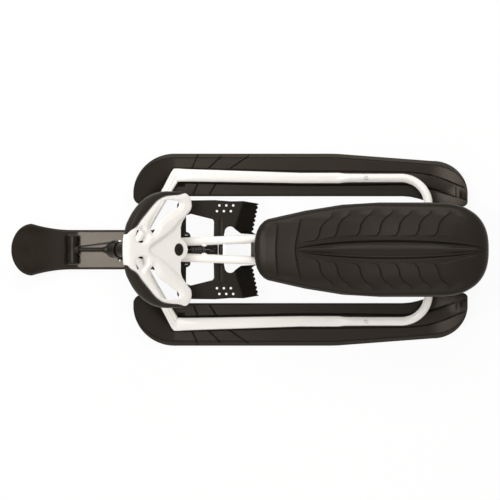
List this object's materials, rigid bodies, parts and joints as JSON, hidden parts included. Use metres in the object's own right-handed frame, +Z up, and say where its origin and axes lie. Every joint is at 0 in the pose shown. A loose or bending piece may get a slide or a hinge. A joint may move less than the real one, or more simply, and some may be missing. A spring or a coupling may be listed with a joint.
{
  "type": "steering sled",
  "caption": "Snow racer: steered front ski and wheel on a raked column, two rear skis under a tubular frame, long moulded seat, claw foot brake and tow rope on a reel.",
  "frame": {"origin": "middle of the bounding box, on the snow under the sled", "axes": "+X to the rear along the sled, +Y to the rider's right, +Z up"},
  "size_m": [1.17, 0.486, 0.3465],
  "materials": {
    "white_paint": "gloss",
    "white_plastic": "satin",
    "ski_plastic": "gloss",
    "black_plastic": "satin",
    "black_steel": "powder coat",
    "rubber": "matt",
    "seat_foam": "moulded skin",
    "rope": "braided",
    "bright_steel": "zinc plated"
  },
  "bodies": {
    "frame": {"brake_bracket": "black_steel", "brake_rod": "bright_steel", "brake_spring": "bright_steel", "brake_stop": "rubber", "head_bush_lower": "black_plastic", "head_bush_upper": "black_plastic", "head_tube": "white_paint", "main_rail_left": "white_paint", "main_rail_right": "white_paint", "rail_bolt_left": "bright_steel", "rail_bolt_right": "bright_steel", "rail_bridge": "white_paint", "rear_hoop": "white_paint", "rear_ski_left": "ski_plastic", "rear_ski_right": "ski_plastic", "rod_cap_left": "black_plastic", "rod_cap_right": "black_plastic", "seat_bolt_back_left": "bright_steel", "seat_bolt_back_right": "bright_steel", "seat_bolt_front_left": "bright_steel", "seat_bolt_front_right": "bright_steel", "seat_cushion": "seat_foam", "seat_pan": "black_plastic", "side_tube_left": "white_paint", "side_tube_right": "white_paint", "ski_bolt_front_left": "bright_steel", "ski_bolt_front_right": "bright_steel", "ski_bolt_rear_left": "bright_steel", "ski_bolt_rear_right": "bright_steel", "ski_nut_left": "bright_steel", "ski_nut_right": "bright_steel", "spring_anchor": "bright_steel"},
    "steering": {"column_collar": "black_steel", "column_foot": "black_steel", "grip_left": "rubber", "grip_right": "rubber", "hub_cap": "black_plastic", "reel_cover": "black_plastic", "reel_housing": "black_plastic", "reel_spring": "bright_steel", "ski_pin": "bright_steel", "ski_pin_nut": "bright_steel", "steering_column": "bright_steel", "tow_rope": "rope", "wheel_back": "white_plastic", "wheel_bolt": "bright_steel", "wheel_shell": "white_plastic"},
    "reel": {"rope_reel": "black_plastic", "wound_rope": "rope"},
    "front_ski": {"front_ski": "ski_plastic"},
    "brake": {"brake_plate": "black_steel"},
    "tow": {"tow_handle": "black_plastic"}
  },
  "joints": [
    {"name": "steering", "type": "hinge", "parent": "frame", "child": "steering", "pos_m": [-0.1626, 0, 0.215], "axis": [0.7314, 0, 0.682], "range_deg": [-30, 30]},
    {"name": "ski_pitch", "type": "hinge", "parent": "steering", "child": "front_ski", "pos_m": [-0.318, 0, 0.028], "axis": [0, 1, 0], "range_deg": [-10, 8]},
    {"name": "brake", "type": "hinge", "parent": "frame", "child": "brake", "pos_m": [-0.149, 0, 0.098], "axis": [0, 1, 0], "range_deg": [0, 20], "stiffness_Nm_per_rad": 3, "springref_deg": -22.92, "deforming": ["brake_spring"]},
    {"name": "tow_pull", "type": "slide", "parent": "steering", "child": "tow", "axis": [-1, 0, 0], "range_m": [0, 0.7], "stiffness_N_per_m": 8, "springref_m": -0.25, "deforming": ["tow_rope"]},
    {"name": "reel_spin", "type": "hinge", "parent": "steering", "child": "reel", "pos_m": [-0.1626, 0, 0.215], "axis": [0.7314, 0, 0.682], "range_deg": [0, 2640]}
  ],
  "couplings": [
    {"joint": "reel_spin", "follows": "tow_pull", "rad_per_m": 65.359}
  ]
}
